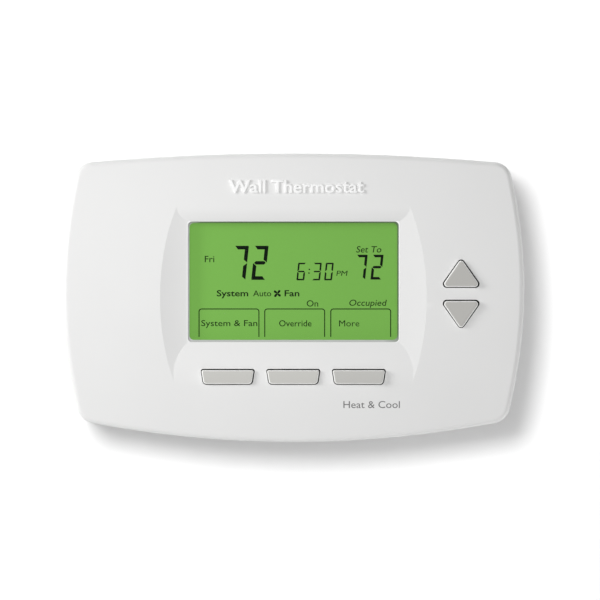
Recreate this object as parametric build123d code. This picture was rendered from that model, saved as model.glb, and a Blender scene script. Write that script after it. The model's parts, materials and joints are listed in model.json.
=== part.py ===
from build123d import *
import os
from math import asin, atan, cos, degrees, radians, sin, sqrt

# Wall thermostat, millimetres.  While it is modelled, x runs to the right, y up the wall and z out of the
# wall, with z = 0 on the wall and x = y = 0 midway between the two wall screws.  save() stands it up, so
# that the finished part has +Z up and its front towards -Y.

# ---- case outline: four arcs with rounded corners --------------------------------------------------------
case_width = 152.4
case_height = 95.2
side_arc_radius = 168.0
side_arc_y = 3.0            # height of the widest point above the centre
top_arc_radius = 790.0
bottom_arc_radius = 360.0
corner_radius = 6.0
case_wall = 2.2
case_edge_radius = 1.8

# ---- front face: a dome curved both ways, with a recess round the display --------------------------------
dome_above_board = 13.0     # circuit board's front to the top of the dome
dome_side_radius = 764.0    # curve across the width
dome_rise_radius = 340.0    # curve up the height
recess_depth = 2.8          # top of the dome to the recess floor
cove_slope = 7.0            # degrees, where the cove leaves the display edge
cove_width = 9.15           # display edge to the crest where the cove meets the dome
upper_ramp = 5.45           # display edge to where the ramp above it meets the dome
lower_ramp = 13.85
ramp_crease = 1.2           # degrees left where a ramp meets the dome
ramp_fullness = 0.5         # how far along its run a ramp keeps the dome's slope
recess_wall = 2.0

# ---- display ---------------------------------------------------------------------------------------------
display_width = 69.5
display_height = 39.7
display_y = 5.2
display_corner = 1.0
window_gap = 0.12
window_sink = 0.55          # window face below the recess floor
window_flange = 2.5
window_flange_thickness = 1.0
lcd_side_border = 3.25      # glass beyond the display opening
lcd_end_border = 3.15
lcd_thickness = 2.2
lcd_contact_edge = 2.4
polariser_thickness = 0.15
polariser_margin = 0.5
frame_wall = 2.8
frame_gap = 0.2
frame_ledge = 1.6
zebra_width = 2.2
zebra_inset = 1.4
light_guide_margin = 0.25
light_guide_gap = 0.3
reflector_thickness = 0.3
led_size = (1.6, 3.0, 2.0)
led_count = 4
led_pitch = 9.0

# ---- keys ------------------------------------------------------------------------------------------------
soft_key_top_width = 18.05
soft_key_bottom_width = 16.4
soft_key_height = 5.25
soft_key_top_corner = 0.8
soft_key_bottom_corner = 1.4
soft_key_pitch = 21.6
soft_key_drop = 11.45       # display's lower edge to the middle of the soft keys
arrow_key_offset = 11.4     # crest of the right cove to the middle of the arrow keys
arrow_half_width = 7.3
arrow_height = 10.3
arrow_corner = 1.3
arrow_split_y = 1.25        # the line between the two arrow keys
arrow_base_gap = 1.95       # from that line to the base of each arrow slot
key_gap = 0.2
key_rise = 1.25             # key face above the case
key_edge = 0.55
key_travel = 0.9
key_flange = 0.9
key_flange_thickness = 1.2
key_flange_clearance = 0.7
stem_radius = 2.0
dome_base_radius = 4.2
dome_top_radius = 2.4
dome_web = 0.5
dome_height = 3.8
mat_thickness = 0.8
mat_margin = 1.6
mat_clearance = 0.05
pill_radius = 1.5
pill_thickness = 0.65
pill_lift = 0.15            # left between the pressed pill and the board

# ---- circuit board ---------------------------------------------------------------------------------------
board_side_margin = 10.2    # case side to board edge
board_top_gap = 1.1         # board edges to the bosses of the case screws
board_bottom_gap = 0.6
board_clearance = 0.7       # board ahead of the tray opening
board_thickness = 1.6
board_corner = 2.0
board_screw_inset = 4.5     # board edge to the middle of a screw
board_screw_radius = 1.0
board_boss_radius = 2.7
screw_clearance = 0.05
screw_hole_clearance = 0.3
screw_tip_gap = 0.7         # screw hole's end to the inside of the front cover
screw_tip_room = 0.4        # screw tip to the end of its hole
board_screw_head = 2.1
relay_size = (12.5, 17.0, 10.0)
relay_edge = 0.75           # board edge to the outer relays
relay_pitch = 15.0
relay_rows = (12.0, -10.0)
controller_size = (14.0, 14.0, 1.6)
leg_count = 12
leg_pitch = 1.0
leg_width = 0.4
leg_reach = 1.0
capacitor_radius = 4.0
capacitor_height = 9.0
capacitor_gap = 1.0         # to the rear cover's pocket
capacitor_edge = 2.5        # to the board's top edge
crystal_size = (3.2, 8.0, 3.2)
crystal_x = 14.0
sensor_bead_radius = 1.2
sensor_lead_radius = 0.25
sensor_lead_spread = 0.8
sensor_reach = 7.0          # board to the middle of the bead
sensor_edge = 2.5           # to the board's lower edge
sensor_gap = 1.5            # to the rear cover's pocket

# ---- rear cover ------------------------------------------------------------------------------------------
rear_wall_back = 6.0
rear_wall = 1.8
skirt_back = 1.0
seam_step = 0.35            # rear cover stands this far inside the front cover
lip_height = 2.8
lip_wall = 1.4
lip_gap = 0.15
pocket_gap = 1.0            # round the terminal blocks
pocket_wall = 1.5
pocket_front_gap = 0.8      # ahead of the terminal blocks
pin_slot_width = 2.6
case_screw_side_margin = 13.2
case_screw_top_margin = 7.1     # top edge above the screw to the screw's middle
case_screw_bottom_margin = 6.55
case_screw_radius = 1.2
case_screw_head = 2.7
case_screw_length = 14.0
case_boss_radius = 3.4
screw_head_height = 1.4
vent_count = 19
vent_pitch = 4.0
vent_width = 1.6
vent_depth = 12.0
vent_back = 12.0

# ---- wall plate and terminals ----------------------------------------------------------------------------
plate_side_margin = 17.2    # case side to plate edge
plate_end_margin = 11.6
plate_thickness = 2.4
plate_corner = 4.0
plate_rim = 1.6
plate_rim_height = 3.2
wall_screw_spacing = 83.3
wall_slot_length = 8.0
wall_slot_width = 4.4
wire_opening_width = 22.0
wire_opening_height = 34.0
latch_x = 32.0
latch_width = 6.0
latch_height = 7.0
latch_clearance = 0.4
terminal_pitch = 5.08
terminal_count = 8
block_inner_x = 12.5
block_outer_x = 27.0
block_end_wall = 1.18
block_depth = 10.0
terminal_screw_x = 17.0
terminal_screw_radius = 1.7
terminal_well_radius = 2.0
terminal_well_depth = 6.6
wire_entry = 3.0
socket_x = 23.5
socket_size = 1.5
socket_depth = 7.4
pin_size = 1.0
pin_engagement = 6.4
header_width = 3.0
header_height = 4.0
contact_thickness = 0.8
jumper_wire = 0.9
jumper_reach = 2.4

# ---- batteries and their tray ----------------------------------------------------------------------------
cell_radius = 5.25
cell_length = 44.5
cell_nub_radius = 1.9
cell_nub_height = 0.8
cell_count = 3
cell_gap = 0.2
cell_side_gap = 4.55        # case side to the outer cell
tray_floor = 1.0
tray_lift = 0.2             # tray above the rear wall
tray_end_wall = 1.65
tray_wall = 1.2
tray_top_margin = 0.4       # tray panel above the cells
tray_panel_wall = 2.0
tray_gap = 0.3
tray_cradle = 2.4           # height of the low walls that hold the cells
cell_clearance = 0.1
contact_strip = 0.3
contact_width = 5.0
contact_reach = 0.1         # left between a contact and a cell's end

# ---- values worked out from those above ------------------------------------------------------------------
seam = rear_wall_back + rear_wall
tray_back = seam + tray_lift
cell_pitch = 2 * cell_radius + cell_gap
first_cell_x = case_width / 2 - cell_side_gap - cell_radius - (cell_count - 1) * cell_pitch
cell_z = tray_back + tray_floor + cell_clearance + cell_radius
tray_half_height = cell_length / 2 + cell_clearance + tray_end_wall
tray_panel_height = tray_floor + cell_clearance + 2 * cell_radius + tray_top_margin
board_back = tray_back + tray_panel_height + tray_gap + board_clearance
board_front = board_back + board_thickness
case_depth = board_front + dome_above_board   # wall to the top of the dome
board_width = case_width - 2 * board_side_margin
case_screw_x = case_width / 2 - case_screw_side_margin
# how far the top and bottom arcs fall from the middle of the case to the screws
top_arc_fall = top_arc_radius - sqrt(top_arc_radius**2 - case_screw_x**2)
bottom_arc_fall = bottom_arc_radius - sqrt(bottom_arc_radius**2 - case_screw_x**2)
upper_case_screw_y = case_height / 2 - top_arc_fall - case_screw_top_margin
lower_case_screw_y = case_screw_bottom_margin + bottom_arc_fall - case_height / 2
case_screw_places = [
    (s * case_screw_x, y) for s in (-1, 1) for y in (upper_case_screw_y, lower_case_screw_y)
]
board_top = upper_case_screw_y - case_boss_radius - board_top_gap
board_bottom = lower_case_screw_y + case_boss_radius + board_bottom_gap
dome_axis_z = case_depth - dome_side_radius
display_half = display_width / 2
display_top = display_y + display_height / 2
display_bottom = display_y - display_height / 2
recess_floor = case_depth - recess_depth
cove_crest = display_half + cove_width
upper_ramp_end = display_top + upper_ramp
lower_ramp_end = display_bottom - lower_ramp
lcd_width = display_width + 2 * lcd_side_border
lcd_height = display_height + 2 * lcd_end_border
# the ramps start this much higher at the middle, so that they meet the flat floor at the display's sides
ramp_start_z = recess_floor + dome_side_radius - sqrt(dome_side_radius**2 - display_half**2)
window_back = recess_floor - recess_wall - window_flange_thickness
lcd_front = window_back - polariser_thickness - 0.05
lcd_back = lcd_front - lcd_thickness
dome_top = board_front + dome_height
soft_key_y = display_bottom - soft_key_drop
arrow_key_x = cove_crest + arrow_key_offset
soft_key_places = {
    "left_soft_key": -soft_key_pitch,
    "middle_soft_key": 0.0,
    "right_soft_key": soft_key_pitch,
}
terminal_rows = [(i - (terminal_count - 1) / 2) * terminal_pitch for i in range(terminal_count)]
block_height = terminal_count * terminal_pitch + 2 * block_end_wall
pocket_width = 2 * (block_outer_x + pocket_gap + pocket_wall)
pocket_height = block_height + 2 * (pocket_gap + pocket_wall)
pocket_depth = plate_thickness + block_depth + pocket_front_gap - rear_wall_back
plate_width = case_width - 2 * plate_side_margin
plate_height = case_height - 2 * plate_end_margin
board_screw_places = [
    (s * (board_width / 2 - board_screw_inset), y)
    for s in (-1, 1)
    for y in (board_top - board_screw_inset, board_bottom + board_screw_inset)
]


def save(node, shape):
    """Stands the piece up, so that z out of the wall becomes -Y, and writes it."""
    export_step(Rot(90, 0, 0) * shape, f"parts/{node}.step")


def block(x0, x1, y0, y1, z0, z1):
    return Pos((x0 + x1) / 2, (y0 + y1) / 2, (z0 + z1) / 2) * Box(x1 - x0, y1 - y0, z1 - z0)


def bar(x, y, width, height, z0, z1):
    """A block centred on x and y."""
    return Pos(x, y, (z0 + z1) / 2) * Box(width, height, z1 - z0)


def post(x, y, z0, z1, radius):
    return Pos(x, y, (z0 + z1) / 2) * Cylinder(radius, z1 - z0)


def slab(sketch, z0, z1):
    return extrude(Pos(0, 0, z0) * sketch, amount=z1 - z0, dir=(0, 0, 1))


def group(solids):
    return Part() + list(solids)


def dome_profile_z(y, inset=0.0):
    """The dome's section at x = 0, a parabola."""
    return case_depth - inset - y**2 / (2 * (dome_rise_radius - inset))


def dome_z(x, y):
    """Height of the dome's surface above the wall."""
    return dome_axis_z + sqrt((dome_profile_z(y) - dome_axis_z) ** 2 - x**2)


def screw_hole_end(x, y):
    """How far out a screw hole in one of the front cover's bosses may go."""
    return dome_z(x, y) - case_wall - screw_tip_gap


# ---- case form -------------------------------------------------------------------------------------------
def case_outline(inset=0.0):
    side_x = case_width / 2 - side_arc_radius
    arcs = [
        Pos(side_x, side_arc_y) * Circle(side_arc_radius - inset),
        Pos(-side_x, side_arc_y) * Circle(side_arc_radius - inset),
        Pos(0, case_height / 2 - top_arc_radius) * Circle(top_arc_radius - inset),
        Pos(0, bottom_arc_radius - case_height / 2) * Circle(bottom_arc_radius - inset),
    ]
    outline = arcs[0] & arcs[1] & arcs[2] & arcs[3]
    return fillet(outline.vertices(), max(corner_radius - inset, 1.0))


def swept_about_dome_axis(profile):
    """Revolves a profile in the x = 0 plane about the dome's upright axis, far enough to cover the width."""
    half_angle = degrees(asin(case_width * 0.56 / dome_side_radius))
    axis = Axis((0, 0, dome_axis_z), (0, 1, 0))
    return revolve(profile.rotate(axis, -half_angle), axis=axis, revolution_arc=2 * half_angle)


def dome_solid(inset, back):
    reach = case_height * 0.6
    edge_z = dome_profile_z(reach, inset)
    pole_z = 2 * (case_depth - inset) - edge_z
    profile = make_face(
        [
            Bezier((0, -reach, edge_z), (0, 0, pole_z), (0, reach, edge_z)),
            Polyline((0, reach, edge_z), (0, reach, back - 10), (0, -reach, back - 10), (0, -reach, edge_z)),
        ]
    )
    return swept_about_dome_axis(profile)


def case_body(inset, back, edge_radius=0.0):
    body = slab(case_outline(inset), back, case_depth + 5) & dome_solid(inset, back)
    if edge_radius:
        front_face = body.faces().sort_by(Axis.Z)[-1]
        body = fillet(front_face.edges(), edge_radius)
    return body


def cove_trough():
    """The space above the recess floor and the two coves, running the height of the case."""
    crest_z = dome_z(cove_crest, 0)
    top = case_depth + 6
    slope = radians(cove_slope)
    sides = []
    for s in (-1, 1):
        cove = TangentArc(
            (s * display_half, 0, recess_floor),
            (s * cove_crest, 0, crest_z),
            tangent=(s * cos(slope), 0, sin(slope)),
        )
        end = cove.tangent_at(1)
        run = (top - crest_z) / end.Z
        sides += [cove, Line(cove @ 1, cove @ 1 + end * run)]
    profile = make_face(
        [
            *sides,
            Line((-display_half, 0, recess_floor), (display_half, 0, recess_floor)),
            Line(sides[1] @ 1, sides[3] @ 1),
        ]
    )
    return extrude(profile, amount=case_height, both=True)


def ramp_bowl():
    """The space above the ramps over and under the display, curved across like the dome."""
    top = case_depth + 6
    edges = []
    ends = []
    for edge_y, end_y in ((display_bottom, lower_ramp_end), (display_top, upper_ramp_end)):
        out = 1 if end_y > 0 else -1
        end_z = dome_profile_z(end_y)
        # direction back towards the display: the dome's own slope, turned down a little
        rise = atan(abs(end_y) / dome_rise_radius) - radians(ramp_crease)
        inward = Vector(0, -out * cos(rise), sin(rise))
        end = Vector(0, end_y, end_z)
        ramp = Bezier(end, end + inward * abs(end_y - edge_y) * ramp_fullness, (0, edge_y, ramp_start_z))
        outer = Vector(0, end_y, end_z) - inward * 12
        corner = Vector(0, outer.Y, top)
        edges += [ramp, Line((0, end_y, end_z), outer), Line(outer, corner)]
        ends.append(corner)
    edges += [
        Line((0, display_bottom, ramp_start_z), (0, display_top, ramp_start_z)),
        Line(ends[0], ends[1]),
    ]
    return swept_about_dome_axis(make_face(edges))


def recess():
    return cove_trough() & ramp_bowl()


# ---- outlines of the openings ----------------------------------------------------------------------------
def rounded_rectangle(width, height, radius, x=0.0, y=0.0):
    return Pos(x, y) * RectangleRounded(width, height, radius)


def display_outline(grow=0.0):
    return rounded_rectangle(
        display_width + 2 * grow, display_height + 2 * grow, display_corner + max(grow, -0.5), 0, display_y
    )


def soft_key_outline(x):
    """Wider at its top edge, with tighter corners there."""
    half_top = soft_key_top_width / 2
    half_bottom = soft_key_bottom_width / 2
    half_height = soft_key_height / 2
    corners = [
        (half_top, half_height),
        (-half_top, half_height),
        (-half_bottom, -half_height),
        (half_bottom, -half_height),
    ]
    shape = make_face(Polyline(*corners, close=True))
    upper = shape.vertices().sort_by(Axis.Y)[2:]
    shape = fillet(upper, soft_key_top_corner)
    lower = shape.vertices().sort_by(Axis.Y)[:2]
    return Pos(x, soft_key_y) * fillet(lower, soft_key_bottom_corner)


def arrow_outline(direction):
    """A triangle that points up (1) or down (-1)."""
    base = arrow_split_y + direction * arrow_base_gap
    corners = [
        (arrow_key_x - direction * arrow_half_width, base),
        (arrow_key_x + direction * arrow_half_width, base),
        (arrow_key_x, base + direction * arrow_height),
    ]
    shape = make_face(Polyline(*corners, close=True))
    return fillet(shape.vertices(), arrow_corner)


def arrow_centre(direction):
    return arrow_split_y + direction * (arrow_base_gap + arrow_height / 3)


# ---- covers ----------------------------------------------------------------------------------------------
def vents():
    """Upright slots through the top and bottom walls."""
    slots = []
    for i in range(vent_count):
        x = (i - (vent_count - 1) / 2) * vent_pitch
        for s in (-1, 1):
            slots.append(
                Pos(x, s * case_height / 2, vent_back + vent_depth / 2) * Box(vent_width, 12, vent_depth)
            )
    return slots


def front_cover():
    cover = case_body(0, seam, case_edge_radius) - recess()
    cavity = case_body(case_wall, seam - 1) - Pos(0, 0, -recess_wall) * recess()
    cover -= cavity
    bosses = [
        post(x, y, board_front, dome_z(x, y) - case_wall / 2, board_boss_radius)
        - post(x, y, board_front, screw_hole_end(x, y), board_screw_radius + screw_clearance)
        for x, y in board_screw_places
    ]
    bosses += [
        post(x, y, seam, dome_z(x, y) - case_wall / 2, case_boss_radius)
        - post(x, y, seam, seam + case_screw_length, case_screw_radius + screw_clearance)
        for x, y in case_screw_places
    ]
    cover += bosses
    cover -= slab(display_outline(), board_front, case_depth + 1)
    key_slots = [slab(soft_key_outline(x), board_front, case_depth + 1) for x in soft_key_places.values()]
    key_slots += [slab(arrow_outline(direction), board_front, case_depth + 1) for direction in (1, -1)]
    opening_top = tray_back + tray_panel_height + tray_gap
    tray_opening = bar(case_width / 2, 0, 40, 2 * (tray_half_height + tray_gap), seam - 1, opening_top)
    return cover - key_slots - vents() - tray_opening


def rear_cover():
    outer = slab(case_outline(seam_step), skirt_back, seam)
    cover = outer - slab(case_outline(seam_step + case_wall), skirt_back, rear_wall_back)
    lip = slab(case_outline(case_wall + lip_gap), seam, seam + lip_height) - slab(
        case_outline(case_wall + lip_gap + lip_wall), seam, seam + lip_height
    )
    lip -= bar(case_width / 2, 0, 40, 2 * (tray_half_height + tray_wall + 1), seam, seam + lip_height)
    lip -= [post(x, y, seam, seam + lip_height, case_boss_radius + lip_gap) for x, y in case_screw_places]
    cover += lip
    pocket_front = rear_wall_back + pocket_depth + pocket_wall
    cover += slab(rounded_rectangle(pocket_width, pocket_height, 2.5), seam, pocket_front)
    cover -= slab(
        rounded_rectangle(pocket_width - 2 * pocket_wall, pocket_height - 2 * pocket_wall, 1.0),
        rear_wall_back,
        rear_wall_back + pocket_depth,
    )
    pin_slot_height = terminal_pitch * terminal_count
    cuts = [
        bar(s * socket_x, 0, pin_slot_width, pin_slot_height, rear_wall_back, pocket_front) for s in (-1, 1)
    ]
    cuts += [
        post(x, y, rear_wall_back, seam, case_screw_radius + screw_hole_clearance)
        for x, y in case_screw_places
    ]
    cuts += [latch(sx, sy, latch_clearance) for sx in (-1, 1) for sy in (-1, 1)]
    bay_y = tray_half_height + tray_gap
    rails = [
        block(first_cell_x - 6, case_width / 2 - 10, y0, y1, seam, cell_z + 3.4)
        for y0, y1 in ((bay_y, bay_y + tray_wall), (-bay_y - tray_wall, -bay_y))
    ]
    return (cover - cuts) + rails


# ---- display pieces --------------------------------------------------------------------------------------
def display_window():
    flange = slab(display_outline(window_flange), window_back, recess_floor - recess_wall)
    face = slab(display_outline(-window_gap), recess_floor - recess_wall, recess_floor - window_sink)
    return flange + face


def display_frame():
    inner_width = lcd_width + 2 * frame_gap
    inner_height = lcd_height + 2 * frame_gap
    frame = slab(
        rounded_rectangle(inner_width + 2 * frame_wall, inner_height + 2 * frame_wall, 2, 0, display_y),
        board_front,
        lcd_front,
    )
    frame -= slab(rounded_rectangle(inner_width, inner_height, 0.5, 0, display_y), board_front, lcd_front)
    ledge_top = lcd_back - frame_gap / 2
    ledges = [
        block(x0, x1, display_y - 12, display_y + 12, ledge_top - 1, ledge_top)
        for x0, x1 in (
            (-inner_width / 2, -inner_width / 2 + frame_ledge),
            (inner_width / 2 - frame_ledge, inner_width / 2),
        )
    ]
    return frame + ledges


def lcd_panel():
    """Two glasses, the rear one longer so that its edge contacts show to the strips behind."""
    middle = lcd_back + lcd_thickness / 2
    rear_glass = bar(0, display_y, lcd_width, lcd_height, lcd_back, middle)
    front_height = lcd_height - lcd_contact_edge
    front_y = display_y + lcd_contact_edge / 2
    return rear_glass + bar(0, front_y, lcd_width, front_height, middle, lcd_front)


def polariser(z):
    return slab(display_outline(polariser_margin), z, z + polariser_thickness)


def zebra_strip(side):
    y = display_y + side * (lcd_height / 2 - zebra_inset)
    return block(-display_half, display_half, y - zebra_width / 2, y + zebra_width / 2, board_front, lcd_back)


def light_guide():
    guide = rounded_rectangle(
        display_width + 2 * light_guide_margin, display_height - 2 * light_guide_margin, 0.6, 0, display_y
    )
    top = lcd_back - polariser_thickness - light_guide_gap / 2
    return slab(guide, board_front + reflector_thickness + 0.05, top)


def reflector_sheet():
    sheet = rounded_rectangle(display_width, display_height - 2 * light_guide_margin, 0.6, 0, display_y)
    return slab(sheet, board_front, board_front + reflector_thickness)


def backlight_leds():
    x = -display_half - light_guide_margin - 0.2 - led_size[0] / 2
    leds = []
    for i in range(led_count):
        y = display_y + (i - (led_count - 1) / 2) * led_pitch
        lens = post(x, y, board_front + led_size[2] * 0.7, board_front + led_size[2], 0.6)
        base = bar(x, y, led_size[0], led_size[1], board_front, board_front + led_size[2] * 0.7)
        leds.append(base + lens)
    return group(leds)


# ---- keys ------------------------------------------------------------------------------------------------
def key(outline, x, y, surface_z, inner_z):
    """A hard cap with a flange behind the cover and a stem down to its silicone dome."""
    flange_top = inner_z - key_flange_clearance
    cap = slab(offset(outline, -key_gap, kind=Kind.ARC), flange_top, surface_z + key_rise)
    cap = fillet(cap.faces().sort_by(Axis.Z)[-1].edges(), key_edge)
    flange = slab(offset(outline, key_flange, kind=Kind.ARC), flange_top - key_flange_thickness, flange_top)
    stem = post(x, y, dome_top, flange_top - key_flange_thickness, stem_radius)
    return cap + flange + stem


def silicone_dome(x, y):
    """A plunger on a thin cone, which folds when the key is pressed."""
    ceiling = board_front + key_travel + pill_lift + pill_thickness
    inner_foot = dome_base_radius - dome_web * 1.4
    foot_top = board_front + mat_thickness
    points = [
        (inner_foot, board_front),
        (dome_base_radius, board_front),
        (dome_base_radius, foot_top),
        (dome_top_radius, dome_top - 0.8),
        (dome_top_radius, dome_top),
        (0, dome_top),
        (0, ceiling),
        (dome_top_radius - dome_web, ceiling),
        (dome_top_radius - dome_web, ceiling + 0.5),
        (inner_foot, foot_top - 0.2),
    ]
    profile = make_face(Polyline(*[(r, 0, z) for r, z in points], close=True))
    return Pos(x, y, 0) * revolve(profile, axis=Axis.Z)


def carbon_pill(x, y):
    z0 = board_front + key_travel + pill_lift
    return post(x, y, z0, z0 + pill_thickness, pill_radius)


def keypad_mat(places):
    soft_half = soft_key_pitch + dome_base_radius + mat_margin
    reach = dome_base_radius + mat_margin
    mat_top = board_front + mat_thickness
    low = max(soft_key_y - reach, board_bottom + screw_hole_clearance)
    frame_bottom = display_y - lcd_height / 2 - frame_gap - frame_wall
    right = arrow_key_x + reach
    sheet = block(-soft_half, right, low, frame_bottom - screw_hole_clearance, board_front, mat_top)
    sheet += block(arrow_key_x - reach, right, low, arrow_centre(1) + reach, board_front, mat_top)
    holes = [
        post(x, y, board_front, mat_top, dome_base_radius + mat_clearance) for x, y in places.values()
    ]
    holes += [
        post(x, y, board_front, mat_top, board_boss_radius + screw_hole_clearance)
        for x, y in board_screw_places
    ]
    return sheet - holes


# ---- circuit board and what it carries -------------------------------------------------------------------
def circuit_board():
    board = slab(
        rounded_rectangle(
            board_width, board_top - board_bottom, board_corner, 0, (board_top + board_bottom) / 2
        ),
        board_back,
        board_front,
    )
    holes = [
        post(x, y, board_back, board_front, board_screw_radius + screw_hole_clearance)
        for x, y in board_screw_places
    ]
    return board - holes


def relays():
    width, height, depth = relay_size
    outer_x = relay_edge + width / 2 - board_width / 2
    cases = [
        bar(x, y, width, height, board_back - depth, board_back)
        for x in (outer_x, outer_x + relay_pitch)
        for y in relay_rows
    ]
    return group(fillet(case.edges().filter_by(Axis.Z), 0.8) for case in cases)


def microcontroller():
    width, height, depth = controller_size
    body = bar(0, 0, width, height, board_back - depth, board_back - 0.1)
    body = chamfer(body.edges().filter_by(Axis.Z), 0.6)
    legs = []
    for i in range(leg_count):
        along = (i - (leg_count - 1) / 2) * leg_pitch
        for s in (-1, 1):
            across = s * (width + leg_reach) / 2
            legs.append(bar(across, along, leg_reach, leg_width, board_back - 0.5, board_back))
            legs.append(bar(along, across, leg_width, leg_reach, board_back - 0.5, board_back))
    return body + legs


def capacitor():
    x = -pocket_width / 2 - capacitor_gap - capacitor_radius
    y = board_top - capacitor_radius - capacitor_edge
    can = post(x, y, board_back - capacitor_height, board_back, capacitor_radius)
    return fillet(can.faces().sort_by(Axis.Z)[0].edges(), 0.8)


def crystal():
    width, height, depth = crystal_size
    can = block(crystal_x, crystal_x + width, -height / 2, height / 2, board_back - depth, board_back)
    return fillet(can.edges().filter_by(Axis.Z), 1.0)


def temperature_sensor():
    """A thermistor bead on two leads, low down, in the air from the bottom vents."""
    x = -pocket_width / 2 - sensor_gap - sensor_bead_radius
    y = board_bottom + sensor_edge
    z = board_back - sensor_reach
    leads = [post(x + s * sensor_lead_spread, y, z, board_back, sensor_lead_radius) for s in (-1, 1)]
    return Pos(x, y, z) * Sphere(sensor_bead_radius) + leads


def header_body(side):
    x = side * socket_x
    half = terminal_pitch * terminal_count / 2
    body = bar(x, 0, header_width, 2 * half, board_back - header_height, board_back)
    return body - [header_pin(x, y) for y in terminal_rows]


def header_pin(x, y):
    tip = plate_thickness + block_depth - pin_engagement
    pin = bar(x, y, pin_size, pin_size, tip, board_back)
    return chamfer(pin.faces().sort_by(Axis.Z)[0].edges(), 0.25)


def screw(x, y, head_back, tip, radius, head_radius):
    """Pan head towards the wall, with a cross slot."""
    head_front = head_back + screw_head_height
    head = post(x, y, head_back, head_front, head_radius)
    head = fillet(head.faces().sort_by(Axis.Z)[0].edges(), 0.5)
    slot = head_radius * 1.2
    cross = [
        bar(x, y, slot, 0.6, head_back, head_back + 0.7),
        bar(x, y, 0.6, slot, head_back, head_back + 0.7),
    ]
    shank = post(x, y, head_front, tip, radius)
    shank = chamfer(shank.faces().sort_by(Axis.Z)[-1].edges(), radius * 0.4)
    return head + shank - cross


# ---- wall plate and terminals ----------------------------------------------------------------------------
def latch(sx, sy, grow=0.0):
    """A tab on the plate's rim that enters a slot in the rear cover."""
    y = sy * (plate_height / 2 - plate_rim / 2)
    top = plate_thickness + latch_height
    return bar(sx * latch_x, y, latch_width + 2 * grow, plate_rim + 2 * grow, plate_thickness, top)


def wall_plate():
    rim_top = plate_thickness + plate_rim_height
    plate = slab(rounded_rectangle(plate_width, plate_height, plate_corner), 0, rim_top)
    inner = rounded_rectangle(
        plate_width - 2 * plate_rim, plate_height - 2 * plate_rim, plate_corner - plate_rim
    )
    plate -= slab(inner, plate_thickness, rim_top)
    plate += [latch(sx, sy) for sx in (-1, 1) for sy in (-1, 1)]
    wire_opening = slab(
        rounded_rectangle(wire_opening_width, wire_opening_height, 3), 0, plate_thickness
    )
    slot = SlotOverall(wall_slot_length, wall_slot_width)
    slots = [slab(Pos(s * wall_screw_spacing / 2, 0) * slot, 0, plate_thickness) for s in (-1, 1)]
    return plate - wire_opening - slots


def wire_entry_levels():
    """Bottom and top of the wire entries, which open a little into the screw wells above them."""
    top = plate_thickness + block_depth - terminal_well_depth + 0.6
    return top - wire_entry, top


def terminal_block(side):
    """Wires enter from the middle, screws and sockets face the room."""
    front = plate_thickness + block_depth
    inner, outer = sorted((side * block_inner_x, side * block_outer_x))
    body = block(inner, outer, -block_height / 2, block_height / 2, plate_thickness, front)
    body = chamfer(body.faces().sort_by(Axis.Z)[-1].edges(), 0.5)
    well_floor = front - terminal_well_depth
    entry_floor, entry_top = wire_entry_levels()
    entry = sorted((side * block_inner_x, side * (terminal_screw_x + terminal_well_radius)))
    cuts = []
    for y in terminal_rows:
        cuts += [
            post(side * terminal_screw_x, y, well_floor, front, terminal_well_radius),
            block(*entry, y - wire_entry / 2, y + wire_entry / 2, entry_floor, entry_top),
            bar(side * socket_x, y, socket_size, socket_size, front - socket_depth, front),
        ]
    return body - cuts


def terminal_screws():
    front = plate_thickness + block_depth
    screws = []
    for side in (-1, 1):
        for y in terminal_rows:
            x = side * terminal_screw_x
            body = post(x, y, front - terminal_well_depth + 0.9, front - 0.6, terminal_screw_radius)
            slot = block(x - 2, x + 2, y - 0.25, y + 0.25, front - 1.4, front - 0.6)
            screws.append(body - slot)
    return group(screws)


def terminal_contacts():
    """A brass strip under each screw, in the wire entry."""
    floor = wire_entry_levels()[0]
    near = block_inner_x + 1.2
    far = terminal_screw_x + terminal_well_radius - 0.1
    return group(
        bar(side * (near + far) / 2, y, far - near, wire_entry - 0.2, floor, floor + contact_thickness)
        for side in (-1, 1)
        for y in terminal_rows
    )


def jumper_link():
    """A staple that bridges two neighbouring terminals of the right block."""
    rows = terminal_rows[-2:]
    z = wire_entry_levels()[0] + contact_thickness
    bend_x = block_inner_x - jumper_reach
    legs = [
        block(bend_x, terminal_screw_x, y - jumper_wire / 2, y + jumper_wire / 2, z, z + jumper_wire)
        for y in rows
    ]
    y0, y1 = rows[0] - jumper_wire / 2, rows[1] + jumper_wire / 2
    return block(bend_x - jumper_wire, bend_x, y0, y1, z, z + jumper_wire) + legs


# ---- batteries -------------------------------------------------------------------------------------------
def cell_places():
    return [first_cell_x + i * cell_pitch for i in range(cell_count)]


def battery(x, direction):
    """A size AAA cell lying upright, its nub at the end given by direction."""
    half = cell_length / 2
    can_end = half - cell_nub_height
    can = Cylinder(cell_radius, half + can_end)
    can = fillet(can.edges().filter_by(GeomType.CIRCLE), 0.4)
    nub = Pos(0, 0, (half + can_end) / 2 + cell_nub_height / 2) * Cylinder(cell_nub_radius, cell_nub_height)
    cell = Pos(0, 0, -cell_nub_height / 2) * (can + nub)
    return Pos(x, 0, cell_z) * Rot(-90 * direction, 0, 0) * cell


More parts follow.
